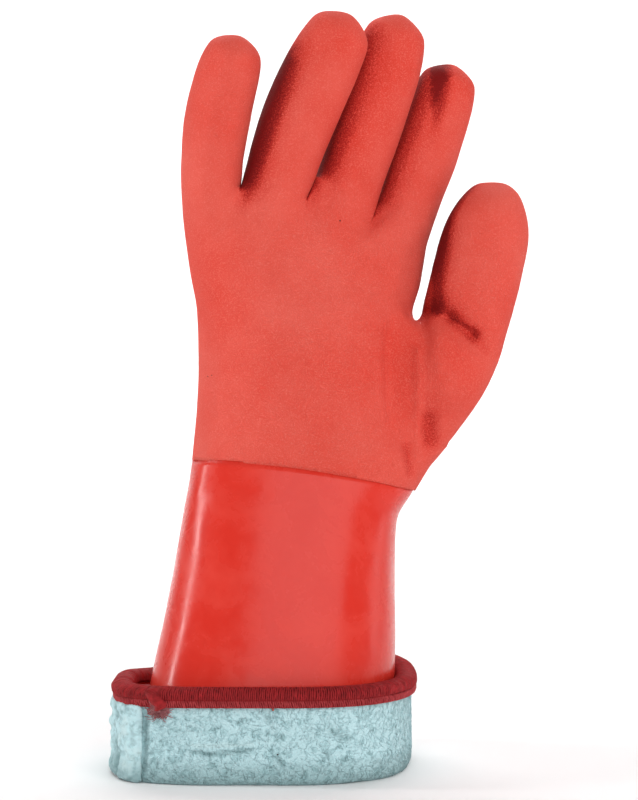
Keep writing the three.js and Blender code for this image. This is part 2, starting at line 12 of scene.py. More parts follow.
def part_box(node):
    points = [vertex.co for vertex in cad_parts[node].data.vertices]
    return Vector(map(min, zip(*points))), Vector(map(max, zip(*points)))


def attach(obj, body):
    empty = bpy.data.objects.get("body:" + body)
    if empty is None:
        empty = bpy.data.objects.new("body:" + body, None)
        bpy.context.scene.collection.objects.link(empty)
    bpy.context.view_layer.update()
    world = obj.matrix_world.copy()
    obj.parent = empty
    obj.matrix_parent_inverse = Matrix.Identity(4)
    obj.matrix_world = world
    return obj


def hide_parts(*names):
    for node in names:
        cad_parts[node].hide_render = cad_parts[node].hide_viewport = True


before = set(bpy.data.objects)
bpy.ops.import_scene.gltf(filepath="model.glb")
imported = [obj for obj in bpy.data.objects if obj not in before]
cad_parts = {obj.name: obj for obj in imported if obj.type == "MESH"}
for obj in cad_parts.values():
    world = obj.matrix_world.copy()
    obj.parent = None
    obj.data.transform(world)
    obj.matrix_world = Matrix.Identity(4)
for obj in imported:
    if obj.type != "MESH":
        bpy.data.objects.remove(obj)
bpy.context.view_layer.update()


# Viewing place and studio. The camera stands level with the glove's middle, straight in front of the
# palm. A tall soft box on the left draws the streaks on the smooth sleeve, and a broad one lights the rest.
EYE = (-0.0015, -0.85, 0.148)
LENS = 93.3
SENSOR = 36
NEAREST = 0.01
WORLD_STRENGTH = 0.27

scene = bpy.context.scene
camera = bpy.data.objects.new("camera", bpy.data.cameras.new("camera"))
scene.collection.objects.link(camera)
camera.location = EYE
camera.rotation_euler = (math.pi / 2, 0, 0)
camera.data.lens = LENS
camera.data.sensor_width = SENSOR
camera.data.clip_start = NEAREST
scene.camera = camera
scene.view_settings.view_transform = "Standard"

LIGHTS = [
    # name, place, aims at, width, height, watts
    ("left_softbox", (-1.1, 0.02, 0.2), (-0.03, 0.0, 0.14), 0.1, 1.2, 9.5),
    ("front_softbox", (0.5, -1.4, 0.75), (0.0, 0.0, 0.17), 1.9, 1.4, 22.5),
    ("right_softbox", (1.2, 0.25, 0.35), (0.03, 0.0, 0.17), 0.3, 0.9, 2),
    ("back_softbox", (0.0, 1.0, 1.3), (0.0, 0.9, 0.3), 1.8, 0.8, 18),
]
for name, place, aim, width, height, watts in LIGHTS:
    lamp = bpy.data.lights.new(name, "AREA")
    lamp.shape = "RECTANGLE"
    lamp.size = width
    lamp.size_y = height
    lamp.energy = watts
    lamp_object = bpy.data.objects.new(name, lamp)
    scene.collection.objects.link(lamp_object)
    lamp_object.location = place
    lamp_object.rotation_euler = (Vector(aim) - Vector(place)).to_track_quat("-Z", "Y").to_euler()

world = bpy.data.worlds.new("studio")
scene.world = world
world.use_nodes = True
world.node_tree.nodes["Background"].inputs["Color"].default_value = (1, 1, 1, 1)
world.node_tree.nodes["Background"].inputs["Strength"].default_value = WORLD_STRENGTH


# White paper sweep: a wide sheet of matt paper that lies on the table and runs up the wall in one bend,
# held at its top. It is the stage behind the glove and no part of it.
GROUND_WIDTH = 6.0
GROUND_FRONT = -2.2
GROUND_BACK = 1.6
WALL_HEIGHT = 3.0
WALL_BEND = 0.7
BEND_ANGLES = np.linspace(0.1, math.pi / 2, 12)


def linear(hex_colour):
    """Turns an sRGB hex colour into the linear values that a shader takes."""
    shares = [int(hex_colour[k:k + 2], 16) / 255 for k in (1, 3, 5)]
    return [s / 12.92 if s < 0.04045 else ((s + 0.055) / 1.055) ** 2.4 for s in shares] + [1.0]


def add(owner, kind, inputs=None, **settings):
    """Adds one node to a material or a node group, with its options, and its inputs as values or links."""
    tree = owner.node_tree if isinstance(owner, bpy.types.Material) else owner
    node = tree.nodes.new(kind)
    for key, value in settings.items():
        setattr(node, key, value)
    for key, value in (inputs or {}).items():
        if isinstance(value, bpy.types.NodeSocket):
            tree.links.new(value, node.inputs[key])
        else:
            node.inputs[key].default_value = value
    return node


def new_material(name):
    """Starts a material that has no nodes yet."""
    material = bpy.data.materials.new(name)
    material.use_nodes = True
    material.node_tree.nodes.clear()
    return material


def finish_material(material, shader):
    """Joins a shader to the material's output."""
    add(material, "ShaderNodeOutputMaterial", {"Surface": shader.outputs[0]})
    return material


# Matt white paper has almost no gloss, so it takes the soft shadow alone
paper = new_material("matt_white_paper")
finish_material(paper, add(paper, "ShaderNodeBsdfPrincipled", {
    "Base Color": linear("#f4f4f4"), "Roughness": 0.9, "Specular IOR Level": 0.1}))
profile = [(GROUND_FRONT, 0.0), (GROUND_BACK - WALL_BEND, 0.0)]
profile += [(GROUND_BACK - WALL_BEND * (1 - math.sin(a)), WALL_BEND * (1 - math.cos(a)))
            for a in BEND_ANGLES]
profile += [(GROUND_BACK, WALL_HEIGHT)]
sweep_mesh = bpy.data.meshes.new("paper_sweep")
sweep_mesh.from_pydata(
    [(side * GROUND_WIDTH / 2, y, z) for y, z in profile for side in (-1, 1)], [],
    [(2 * k, 2 * k + 1, 2 * k + 3, 2 * k + 2) for k in range(len(profile) - 1)])
sweep = bpy.data.objects.new("paper_sweep", sweep_mesh)
scene.collection.objects.link(sweep)
sweep_mesh.materials.append(paper)
for face in sweep_mesh.polygons:
    face.use_smooth = True


# Rough hand of the glove: a second dip of PVC with sand-like grain, from the wrist line up over the palm,
# the fingers and the thumb. It is matt, its rounded lip ends on the smooth sleeve, and the pull of the
# thumb has set folds at its root.
HAND_FOLDS = [
    # runs from x, z to x, z in millimetres, half its width, how deep it goes in
    (43.5, 184.5, 51.5, 181.0, 2.4, 0.9),
    (51.5, 181.0, 60.0, 174.0, 2.6, 1.9),
    (60.0, 174.0, 65.5, 168.0, 2.4, 0.9),
    (47.0, 173.5, 59.5, 165.5, 3.4, -1.1),
    (52.0, 184.0, 62.0, 175.0, 4.0, 0.8),
    (42.8, 140.0, 43.6, 132.0, 3.6, 2.0),
    (43.0, 148.0, 43.4, 126.0, 5.0, 0.5),
    (33.4, 129.0, 34.8, 119.0, 2.3, 1.5),
    (38.2, 168.0, 38.4, 124.0, 1.7, -0.9),
    (29.5, 128.0, 30.5, 117.0, 1.5, -0.4),
    (-31.5, 237.5, -31.0, 231.0, 1.8, 0.2),
    (-5.0, 233.5, -4.4, 227.0, 1.8, 0.2),
    (19.5, 224.0, 20.0, 216.0, 1.9, 0.3),
]
# x, z and height in millimetres of the webs that close the foot of the gap between two fingers
WEBS = [(-3.0, 231.0, 7.0), (20.0, 222.0, 4.0)]
WEB_WIDTH = 0.006
WEB_FACING = 2
# corners of the box in which the mesh is made finer for the folds
FOLD_ZONE = ((0.012, -0.06, 0.112), (0.08, 0.0, 0.2))
# how far behind the front's skin a fold moves the coat, and the coat with its lining
COAT_REACH = 0.0024
GLOVE_REACH = 0.0068
LEAST_PUSH = 0.02
FACING_FADE = 3
FRONT = -0.2
# ways to the light on the left, and how near a neighbour has to be to take some of it away
LEFT_WAYS = [(-1, -0.1, 0.05), (-1, -0.4, 0.1), (-1, -0.2, 0.35),
             (-1, -0.2, -0.2), (-1, 0.2, 0.1), (-1, -0.8, 0.1)]
NEIGHBOUR = 0.045
SKIN_GAP = 0.0004
LEAST_FACING = 0.02
# the painted shade starts at this height
FINGER_ROOTS = 0.172
ROOTS_FADE = 0.014
# where the ring, middle and index finger and the thumb stand, and how strongly shade is painted on their left
# sides
FINGER_X = (-0.02, 0.0, 0.03, 0.044, 0.048)
FINGER_SHADE_STRENGTH = (1.45, 0.75, 0.45, 0.6, 4.0)
# how much shade is painted into the folds for each millimetre of their depth
FOLD_SHADE_STRENGTH = 0.12
# height and width of each size of lumps in metres
HAND_WAVES = [(0.00025, 0.018), (0.00012, 0.007)]
# the lip at the wrist: how high it is worked, how soon that fades, how far it stands out and comes down
LIP_REACH = 0.006
LIP_FADE = 0.0012
LIP_SWELL = 0.00014
LIP_DROP = 0.0007
EDGE_FACING = 0.3
WRIST_MARGIN = 0.004
# finer meshes: points closer than the weld are joined, and corners over so many degrees stay sharp
MM = 0.001
WELD = 1e-6
SHARP_CORNER = 50
FITTING_ROUNDS = 4
LOOKS_FORWARD = 0.1


def smooth_copy(node, name, levels, sharp_zone=None):
    """A finer copy of a node's mesh whose smooth surface still goes through the node's own points."""
    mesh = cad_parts[node].data.copy()
    mesh.name = name
    mesh.materials.clear()
    work = bmesh.new()
    work.from_mesh(mesh)
    bmesh.ops.remove_doubles(work, verts=work.verts, dist=WELD)
    bmesh.ops.join_triangles(work, faces=work.faces, angle_face_threshold=math.pi,
                             angle_shape_threshold=math.pi)
    crease = work.edges.layers.float.get("crease_edge") or work.edges.layers.float.new("crease_edge")
    low, high = sharp_zone or (1, 0)
    for edge in work.edges:
        inside = all(low < v.co.z < high for v in edge.verts)
        if inside and len(edge.link_faces) == 2 and edge.calc_face_angle(0) > math.radians(SHARP_CORNER):
            edge[crease] = 1.0
    work.to_mesh(mesh)
    work.free()
    piece = bpy.data.objects.new(name, mesh)
    scene.collection.objects.link(piece)
    surface = piece.modifiers.new("surface", "SUBSURF")
    surface.levels = 1
    surface.render_levels = 1
    count = len(mesh.vertices)
    wanted = np.empty(count * 3)
    mesh.vertices.foreach_get("co", wanted)
    cage = wanted.copy()
    for _ in range(FITTING_ROUNDS):
        finer = bpy.data.meshes.new_from_object(piece.evaluated_get(bpy.context.evaluated_depsgraph_get()))
        got = np.empty(len(finer.vertices) * 3)
        finer.vertices.foreach_get("co", got)
        cage += wanted - got[:count * 3]
        mesh.vertices.foreach_set("co", cage)
        mesh.update()
        bpy.data.meshes.remove(finer)
    surface.levels = levels
    surface.render_levels = levels
    plain_mesh(piece)
    piece.data.name = name
    return piece


def plain_mesh(piece):
    """Turns what the piece's modifiers make into its own mesh and takes the modifiers off."""
    result = bpy.data.meshes.new_from_object(piece.evaluated_get(bpy.context.evaluated_depsgraph_get()))
    piece.modifiers.clear()
    piece.data = result
    for polygon in result.polygons:
        polygon.use_smooth = True


def refine(piece, low, high):
    """Splits each edge of the faces that look forward inside a box, so that small folds can be pressed in."""
    work = bmesh.new()
    work.from_mesh(piece.data)
    edges = {e for f in work.faces if f.normal.y < LOOKS_FORWARD for e in f.edges
             if all(low[k] < v.co[k] < high[k] for v in e.verts for k in range(3))}
    bmesh.ops.subdivide_edges(work, edges=list(edges), cuts=1, use_grid_fill=True, smooth=0.0)
    work.to_mesh(piece.data)
    work.free()
    for polygon in piece.data.polygons:
        polygon.use_smooth = True


def points_and_normals(piece):
    """The piece's points and the outward direction at each, as two tables."""
    count = len(piece.data.vertices)
    points = np.empty(count * 3)
    normals = np.empty(count * 3)
    piece.data.vertices.foreach_get("co", points)
    piece.data.vertices.foreach_get("normal", normals)
    return points.reshape(-1, 3), normals.reshape(-1, 3)


def set_points(piece, points):
    """Writes moved points back into the piece."""
    piece.data.vertices.foreach_set("co", points.ravel())
    piece.data.update()


def lumps(points, waves):
    """How far lumps stand out at each point, for waves that each have a height and a width."""
    return sum(height * np.array([noise.noise(Vector(p) / width) for p in points]) for height, width in waves)


def fold_depth(points, folds):
    """How deep the folds go in at each point of the front, in metres."""
    depth = np.zeros(len(points))
    for x, z, to_x, to_z, half_width, push in folds:
        start = np.array((x, z)) * MM
        run = np.array((to_x - x, to_z - z)) * MM
        here = points[:, (0, 2)] - start
        share = np.clip(here @ run / (run @ run), 0, 1)
        away = np.linalg.norm(here - share[:, None] * run, axis=1) / (half_width * MM)
        depth += push * MM * np.exp(-away ** 2)
    return depth


def surface_tree(piece):
    """A tree of the piece's faces that rays can be cast at."""
    return BVHTree.FromPolygons([v.co[:] for v in piece.data.vertices],
                                [p.vertices[:] for p in piece.data.polygons])


def height_over_edge(points, edge):
    """How far each point is above the nearest point of an edge, as seen from above."""
    tree = KDTree(len(edge))
    for k, spot in enumerate(edge):
        tree.insert((spot[0], spot[1], 0), k)
    tree.balance()
    return np.array([p[2] - edge[tree.find((p[0], p[1], 0))[1]][2] for p in points])


def press_folds(points, folds, skin, reach):
    """Presses folds into what lies within reach behind the front of a skin."""
    depth = fold_depth(points, folds)
    for k in np.nonzero(np.abs(depth) > LEAST_PUSH * MM)[0]:
        x, y, z = points[k]
        hit, facing, _, _ = skin.ray_cast(Vector((x, FRONT, z)), Vector((0, 1, 0)))
        if hit is not None and y - hit.y < reach:
            points[k, 1] += depth[k] * min(-FACING_FADE * facing.y, 1)


WRIST_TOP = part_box("gauntlet_coat")[1][2]
hand = smooth_copy("hand_coat", "rough_hand", 2, (0.0, WRIST_TOP + WRIST_MARGIN))
refine(hand, *FOLD_ZONE)
refine(hand, *FOLD_ZONE)
points, normals = points_and_normals(hand)
hand_front = surface_tree(hand)
waves = lumps(points, HAND_WAVES)
press_folds(points, HAND_FOLDS, hand_front, COAT_REACH)
low_part = points[:, 2] < WRIST_TOP + LIP_REACH
lip = points[low_part & (normals[:, 2] < -EDGE_FACING)]
over = height_over_edge(points[low_part], lip)
near = np.exp(-(over / LIP_FADE) ** 2)
points += normals * waves[:, None]
for x, z, rise in WEBS:
    away = ((points[:, 0] - x * MM) / WEB_WIDTH) ** 2 + ((points[:, 2] - z * MM) / WEB_WIDTH) ** 2
    points[:, 2] += rise * MM * np.exp(-away) * np.clip(normals[:, 2] * WEB_FACING, 0, 1)
flat_out = normals[low_part] * np.array((1, 1, 0))
points[low_part] += flat_out * (LIP_SWELL * near)[:, None]
points[low_part, 2] -= LIP_DROP * near
set_points(hand, points)

# How much light from the left each point loses to the finger or palm beside it, or in a fold. This is painted
# shade: the coat is painted a darker red there, because the soft lights alone leave these hollows too pale.
hand_tree = surface_tree(hand)
points, normals = points_and_normals(hand)
deep = np.zeros(len(points))
for way in LEFT_WAYS:
    way = Vector(way).normalized()
    facing = np.clip(normals @ np.array(way), 0, 1)
    for k in np.nonzero(facing > LEAST_FACING)[0]:
        start = Vector(points[k] + normals[k] * SKIN_GAP)
        hit = hand_tree.ray_cast(start, way, NEIGHBOUR)
        if hit[0] is not None:
            deep[k] += facing[k] * (1 - hit[3] / NEIGHBOUR) / len(LEFT_WAYS)
deep *= np.clip((points[:, 2] - FINGER_ROOTS) / ROOTS_FADE, 0, 1)
deep *= np.interp(points[:, 0], FINGER_X, FINGER_SHADE_STRENGTH)
in_front = np.clip(-normals[:, 1] * FACING_FADE, 0, 1)
deep += FOLD_SHADE_STRENGTH * np.clip(fold_depth(points, HAND_FOLDS) / MM, 0, 2) * in_front
shade = hand.data.attributes.new("painted_finger_and_fold_shade", "FLOAT", "POINT")
shade.data.foreach_set("value", deep)


def scale_of(size):
    """The scale of a noise whose marks are about the given size in millimetres."""
    return 1000 / size


# Sandy PVC dip: soft PVC that was strewn with grit and dipped once more, so it is matt, with paler grains
# and a red that drifts a little. The grain of 0.2 mm is too fine to show and is drawn at about 0.5 mm.
rough_pvc = new_material("sandy_pvc_dip")
place = add(rough_pvc, "ShaderNodeTexCoord")
drift = add(rough_pvc, "ShaderNodeTexNoise", {
    "Vector": place.outputs["Object"], "Scale": scale_of(38.5), "Detail": 4, "Roughness": 0.55})
tone = add(rough_pvc, "ShaderNodeValToRGB", {"Fac": drift.outputs["Fac"]})
tone.color_ramp.elements[0].position = 0.32
tone.color_ramp.elements[0].color = linear("#e84536")
tone.color_ramp.elements[1].position = 0.7
tone.color_ramp.elements[1].color = linear("#f06052")
sand = add(rough_pvc, "ShaderNodeTexNoise", {
    "Vector": place.outputs["Object"], "Scale": scale_of(0.526), "Detail": 3, "Roughness": 0.7})
specks = add(rough_pvc, "ShaderNodeMapRange", {
    "Value": sand.outputs["Fac"], "From Min": 0.5, "From Max": 0.72, "To Min": 0.0, "To Max": 0.5})
sandy = add(rough_pvc, "ShaderNodeMix", {
    "Factor": specks.outputs["Result"], "A": tone.outputs["Color"], "B": linear("#ff8f7e")}, data_type="RGBA")
# Painted shade: where the left light is lost, the red is painted darker in two steps, stippled by the sand
# grain
painted_shade_input = add(rough_pvc, "ShaderNodeAttribute", attribute_name="painted_finger_and_fold_shade")
grains = add(rough_pvc, "ShaderNodeMapRange", {
    "Value": sand.outputs["Fac"], "From Min": 0.35, "From Max": 0.65, "To Min": 1.4, "To Max": 0.5})
stippled_shade = add(rough_pvc, "ShaderNodeMath", {
    0: painted_shade_input.outputs["Fac"], 1: grains.outputs["Result"]}, operation="MULTIPLY")
half_shade_share = add(rough_pvc, "ShaderNodeMapRange", {
    "Value": stippled_shade.outputs[0], "From Min": 0.03, "From Max": 0.3, "To Min": 0.0, "To Max": 0.85})
half_shaded_coat = add(rough_pvc, "ShaderNodeMix", {
    "Factor": half_shade_share.outputs["Result"], "A": sandy.outputs[2], "B": linear("#d42a1e")}, data_type="RGBA")
full_shade_share = add(rough_pvc, "ShaderNodeMapRange", {
    "Value": stippled_shade.outputs[0], "From Min": 0.16, "From Max": 0.6, "To Min": 0.0, "To Max": 0.95})
coat = add(rough_pvc, "ShaderNodeMix", {
    "Factor": full_shade_share.outputs["Result"], "A": half_shaded_coat.outputs[2],
    "B": linear("#7d0507")}, data_type="RGBA")
bump = add(rough_pvc, "ShaderNodeBump", {
    "Height": sand.outputs["Fac"], "Strength": 1.0, "Distance": 0.0009})
finish_material(rough_pvc, add(rough_pvc, "ShaderNodeBsdfPrincipled", {
    "Base Color": coat.outputs[2], "Roughness": 0.75, "IOR": 1.53, "Specular IOR Level": 0.2,
    "Normal": bump.outputs["Normal"]}))
hand.data.materials.append(rough_pvc)
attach(hand, "root")
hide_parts("hand_coat")


# Smooth sleeve of the glove: the first PVC dip, which stays bare below the wrist line, runs down behind
# the cuff, turns at the fold and comes up as the cuff's inside. It is semi-gloss, with faint cloudy marks.
SLEEVE_WAVES = [(0.0004, 0.034), (0.00014, 0.012)]
# the top edge is tucked in under the lip: where it is looked for, how soon the tuck fades, and its depth
TOP_REACH = 0.016
TOP_FADE = 0.0008
TOP_TUCK = 0.0003

sleeve = smooth_copy("gauntlet_coat", "smooth_sleeve", 2, (0.0, 1.0))
points, normals = points_and_normals(sleeve)
points += normals * lumps(points, SLEEVE_WAVES)[:, None]
top_part = points[:, 2] > WRIST_TOP - TOP_REACH
top_edge = points[top_part & (normals[:, 2] > EDGE_FACING)]
under = height_over_edge(points[top_part], top_edge)
near = np.exp(-(under / TOP_FADE) ** 2)
flat_out = normals[top_part] * np.array((1, 1, 0))
inwards = (points[top_part, :2] * normals[top_part, :2]).sum(1) > 0
points[top_part] -= flat_out * (TOP_TUCK * near * inwards)[:, None]
set_points(sleeve, points)

# Glossy PVC dip: soft PVC that set smooth from the bath, so it takes long streaks of light, and is duller
# in the cloudy places where it was handled
smooth_pvc = new_material("glossy_pvc_dip")
place = add(smooth_pvc, "ShaderNodeTexCoord")
cloud = add(smooth_pvc, "ShaderNodeTexNoise", {
    "Vector": place.outputs["Object"], "Scale": scale_of(14.3), "Detail": 6, "Roughness": 0.62,
    "Distortion": 0.4})
tone = add(smooth_pvc, "ShaderNodeValToRGB", {"Fac": cloud.outputs["Fac"]})
tone.color_ramp.elements[0].position = 0.4
tone.color_ramp.elements[0].color = linear("#cf2e22")
tone.color_ramp.elements[1].position = 0.72
tone.color_ramp.elements[1].color = linear("#d63c30")
gloss = add(smooth_pvc, "ShaderNodeMapRange", {
    "Value": cloud.outputs["Fac"], "From Min": 0.35, "From Max": 0.7, "To Min": 0.2, "To Max": 0.36})
ripple = add(smooth_pvc, "ShaderNodeTexNoise", {
    "Vector": place.outputs["Object"], "Scale": scale_of(4.35), "Detail": 3, "Roughness": 0.5})
bump = add(smooth_pvc, "ShaderNodeBump", {
    "Height": ripple.outputs["Fac"], "Strength": 0.12, "Distance": 0.0006})
finish_material(smooth_pvc, add(smooth_pvc, "ShaderNodeBsdfPrincipled", {
    "Base Color": tone.outputs["Color"], "Roughness": gloss.outputs["Result"], "IOR": 1.53,
    "Specular IOR Level": 0.22, "Normal": bump.outputs["Normal"]}))
sleeve.data.materials.append(smooth_pvc)
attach(sleeve, "root")
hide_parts("gauntlet_coat")


# Insulating lining: a knitted acrylic shell with a brushed pile, which the PVC was dipped over. It fills the
# glove, turns at the fold and shows all over the outside of the cuff, pale blue green with grey flecks and
# a few dragged creases.
CUFF_CREASES = [
    # runs from x, z to x, z in millimetres, half its width, how deep it goes in
    (-50.5, 13.5, -44.0, 12.0, 1.0, 0.5),
    (-44.0, 12.0, -27.5, 14.0, 1.0, 0.5),
    (-50.0, 15.2, -27.5, 15.8, 1.1, -0.45),
    (-18.0, 11.5, -15.5, 8.0, 1.0, 0.5),
    (-22.0, 27.0, -20.5, 24.5, 1.1, 0.4),
    (3.0, 21.0, 9.0, 17.5, 1.2, 0.3),
    (-67.6, 30.0, -69.6, 1.0, 0.7, 0.6),
]
CUFF_ZONE = ((-0.09, -0.07, 0.001), (0.06, 0.0, 0.034))
PILE_WAVES = [(0.00025, 0.0045), (0.0002, 0.0022), (0.0006, 0.022)]
RIM_MARGIN = 0.002
# how deep a crease goes where the shade painted into it is full
CREASE_SHADE_DEPTH = 0.0007

lining = smooth_copy("liner", "pile_lining", 2, (0.0, 1.0))
refine(lining, *CUFF_ZONE)
refine(lining, *FOLD_ZONE)
points, normals = points_and_normals(lining)
press_folds(points, HAND_FOLDS, hand_front, GLOVE_REACH)
low_part = points[:, 2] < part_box("rim_binding")[1][2] + RIM_MARGIN
low_points = points[low_part]
rise = lumps(low_points, PILE_WAVES)
rise -= fold_depth(low_points, CUFF_CREASES) * np.clip(-normals[low_part, 1] * FACING_FADE, 0, 1)
points[low_part] += normals[low_part] * rise[:, None]
points[:, 2] = np.maximum(points[:, 2], 0)
set_points(lining, points)
# The creases' depth is kept for the shade painted into them and the highlight painted on their crests
pucker_shade_and_highlight = lining.data.attributes.new("pucker_shade_and_highlight", "FLOAT", "POINT")
pucker_shade_and_highlight.data.foreach_set("value", -fold_depth(points, CUFF_CREASES) / CREASE_SHADE_DEPTH)

# Brushed acrylic pile: a knit that was raised with wire brushes, so it is fully matt and mottled where the
# pile parts. Shade is painted into the puckers and a highlight on their crests, and it is painted darker
# towards the ground as shade.
pile = new_material("brushed_acrylic_pile")
place = add(pile, "ShaderNodeTexCoord")
cloud = add(pile, "ShaderNodeTexNoise", {
    "Vector": place.outputs["Object"], "Scale": scale_of(1.61), "Detail": 4, "Roughness": 0.65})
patch = add(pile, "ShaderNodeTexNoise", {
    "Vector": place.outputs["Object"], "Scale": scale_of(3.85), "Detail": 2, "Roughness": 0.5})
both = add(pile, "ShaderNodeMath", {0: cloud.outputs["Fac"], 1: patch.outputs["Fac"]}, operation="ADD")
tone = add(pile, "ShaderNodeValToRGB", {"Fac": both.outputs[0]})
tone.color_ramp.elements[0].position = 0.7
tone.color_ramp.elements[0].color = linear("#95b8bc")
tone.color_ramp.elements[1].position = 1.0
tone.color_ramp.elements[1].color = linear("#c3e5ea")
tone.color_ramp.elements.new(0.9).color = linear("#b2d6db")
height = add(pile, "ShaderNodeSeparateXYZ", {"Vector": place.outputs["Object"]})
# painted shade: the pile is painted darker towards the ground, where the cuff's roll turns under
ground_shade = add(pile, "ShaderNodeMapRange", {
    "Value": height.outputs["Z"], "From Min": 0.0015, "From Max": 0.011, "To Min": 0.75, "To Max": 0.0})
ground_shaded = add(pile, "ShaderNodeMix", {
    "Factor": ground_shade.outputs["Result"], "A": tone.outputs["Color"], "B": linear("#7d9c9e")}, data_type="RGBA")
# painted shade in the puckers' hollows and a painted highlight on their crests
pucker_shading = add(pile, "ShaderNodeAttribute", attribute_name="pucker_shade_and_highlight")
painted_crease_shade = add(pile, "ShaderNodeMapRange", {
    "Value": pucker_shading.outputs["Fac"], "From Min": 0.0, "From Max": -1.0, "To Min": 0.0, "To Max": 0.8})
painted_crest_highlight = add(pile, "ShaderNodeMapRange", {
    "Value": pucker_shading.outputs["Fac"], "From Min": 0.1, "From Max": 1.0, "To Min": 0.0, "To Max": 0.5})
crease_shaded = add(pile, "ShaderNodeMix", {
    "Factor": painted_crease_shade.outputs["Result"], "A": ground_shaded.outputs[2], "B": linear("#64888b")}, data_type="RGBA")
raised = add(pile, "ShaderNodeMix", {
    "Factor": painted_crest_highlight.outputs["Result"], "A": crease_shaded.outputs[2], "B": linear("#d3e9e9")}, data_type="RGBA")
fibre = add(pile, "ShaderNodeTexNoise", {
    "Vector": place.outputs["Object"], "Scale": scale_of(1.11), "Detail": 4, "Roughness": 0.75})
heights = add(pile, "ShaderNodeMath", {
    0: fibre.outputs["Fac"], 1: cloud.outputs["Fac"]}, operation="ADD")
bump = add(pile, "ShaderNodeBump", {
    "Height": heights.outputs[0], "Strength": 0.9, "Distance": 0.0009})
finish_material(pile, add(pile, "ShaderNodeBsdfPrincipled", {
    "Base Color": raised.outputs[2], "Roughness": 0.95, "Sheen Weight": 0.2, "Specular IOR Level": 0.2,
    "Normal": bump.outputs["Normal"]}))
lining.data.materials.append(pile)
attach(lining, "root")
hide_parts("liner")


# Brushed fibres of the lining: ends of acrylic fibre that the wire brushes pulled out of the knit, lying
# flat in all directions over the cuff. A true one is too fine to show, so each is drawn thicker.
FIBRE_COUNT = 8500
FIBRE_LENGTH = 0.0024
FIBRE_RADIUS = 0.00011
FIBRE_SIDES = 3
# how far along the fibre and how far aside its bends are, as shares of its length
FIBRE_BENDS = [(-0.5, 0.0), (0.0, 0.09), (0.5, 0.02)]
FIBRE_SEED = 7
# they lie on the cuff's outside alone, below the rim, above the ground and away from the cuff's middle
CUFF_HEART = 0.015
UNDER_RIM = 0.004
OVER_GROUND = 0.0008
CUFF_CORE = 0.03


def fibre_shape(name):
    """One bent fibre with three sides and closed ends, which lies along x."""
    turns = [2 * math.pi * s / FIBRE_SIDES for s in range(FIBRE_SIDES)]
    spots = [(along * FIBRE_LENGTH, FIBRE_RADIUS * math.cos(t),
              aside * FIBRE_LENGTH + FIBRE_RADIUS * math.sin(t))
             for along, aside in FIBRE_BENDS for t in turns]
    faces = [(k * FIBRE_SIDES + s, k * FIBRE_SIDES + (s + 1) % FIBRE_SIDES,
              (k + 1) * FIBRE_SIDES + (s + 1) % FIBRE_SIDES, (k + 1) * FIBRE_SIDES + s)
             for k in range(len(FIBRE_BENDS) - 1) for s in range(FIBRE_SIDES)]
    last = (len(FIBRE_BENDS) - 1) * FIBRE_SIDES
    faces += [(0, 2, 1), (last, last + 1, last + 2)]
    shape = bpy.data.meshes.new(name)
    shape.from_pydata(spots, [], faces)
    work = bmesh.new()
    work.from_mesh(shape)
    bmesh.ops.recalc_face_normals(work, faces=work.faces)
    work.to_mesh(shape)
    work.free()
    shape_object = bpy.data.objects.new(name, shape)
    scene.collection.objects.link(shape_object)
    return shape_object


def brushed_fibres(name, ground, count, material, seed):
    """Short bent fibres strewn over a mesh by Geometry Nodes, each flat on it and turned at random."""
    shape_object = fibre_shape(name + "_shape")
    piece = bpy.data.objects.new(name, ground)
    scene.collection.objects.link(piece)
    tree = bpy.data.node_groups.new(name, "GeometryNodeTree")
    tree.interface.new_socket("Ground", in_out="INPUT", socket_type="NodeSocketGeometry")
    density_input = tree.interface.new_socket("Fibres per square metre", in_out="INPUT",
                                              socket_type="NodeSocketFloat")
    tree.interface.new_socket("Fibres", in_out="OUTPUT", socket_type="NodeSocketGeometry")
    given = add(tree, "NodeGroupInput")
    strew = add(tree, "GeometryNodeDistributePointsOnFaces", {
        "Mesh": given.outputs["Ground"], "Density": given.outputs["Fibres per square metre"], "Seed": seed})
    source = add(tree, "GeometryNodeObjectInfo", {"Object": shape_object})
    chance = add(tree, "FunctionNodeRandomValue", {
        2: 0.0, 3: 2 * math.pi, "Seed": seed + 1}, data_type="FLOAT")
    about = add(tree, "FunctionNodeAxisAngleToRotation", {"Angle": chance.outputs[1]})
    turn = add(tree, "FunctionNodeRotateRotation", {
        "Rotation": strew.outputs["Rotation"], "Rotate By": about.outputs[0]}, rotation_space="LOCAL")
    lay = add(tree, "GeometryNodeInstanceOnPoints", {
        "Points": strew.outputs["Points"], "Instance": source.outputs["Geometry"],
        "Rotation": turn.outputs[0]})
    real = add(tree, "GeometryNodeRealizeInstances", {0: lay.outputs[0]})
    dress = add(tree, "GeometryNodeSetMaterial", {"Geometry": real.outputs[0], "Material": material})
    add(tree, "NodeGroupOutput", {"Fibres": dress.outputs[0]})
    modifier = piece.modifiers.new("fibres", "NODES")
    modifier.node_group = tree
    modifier[density_input.identifier] = count / sum(p.area for p in ground.polygons)
    plain_mesh(piece)
    bpy.data.objects.remove(shape_object)
    return piece


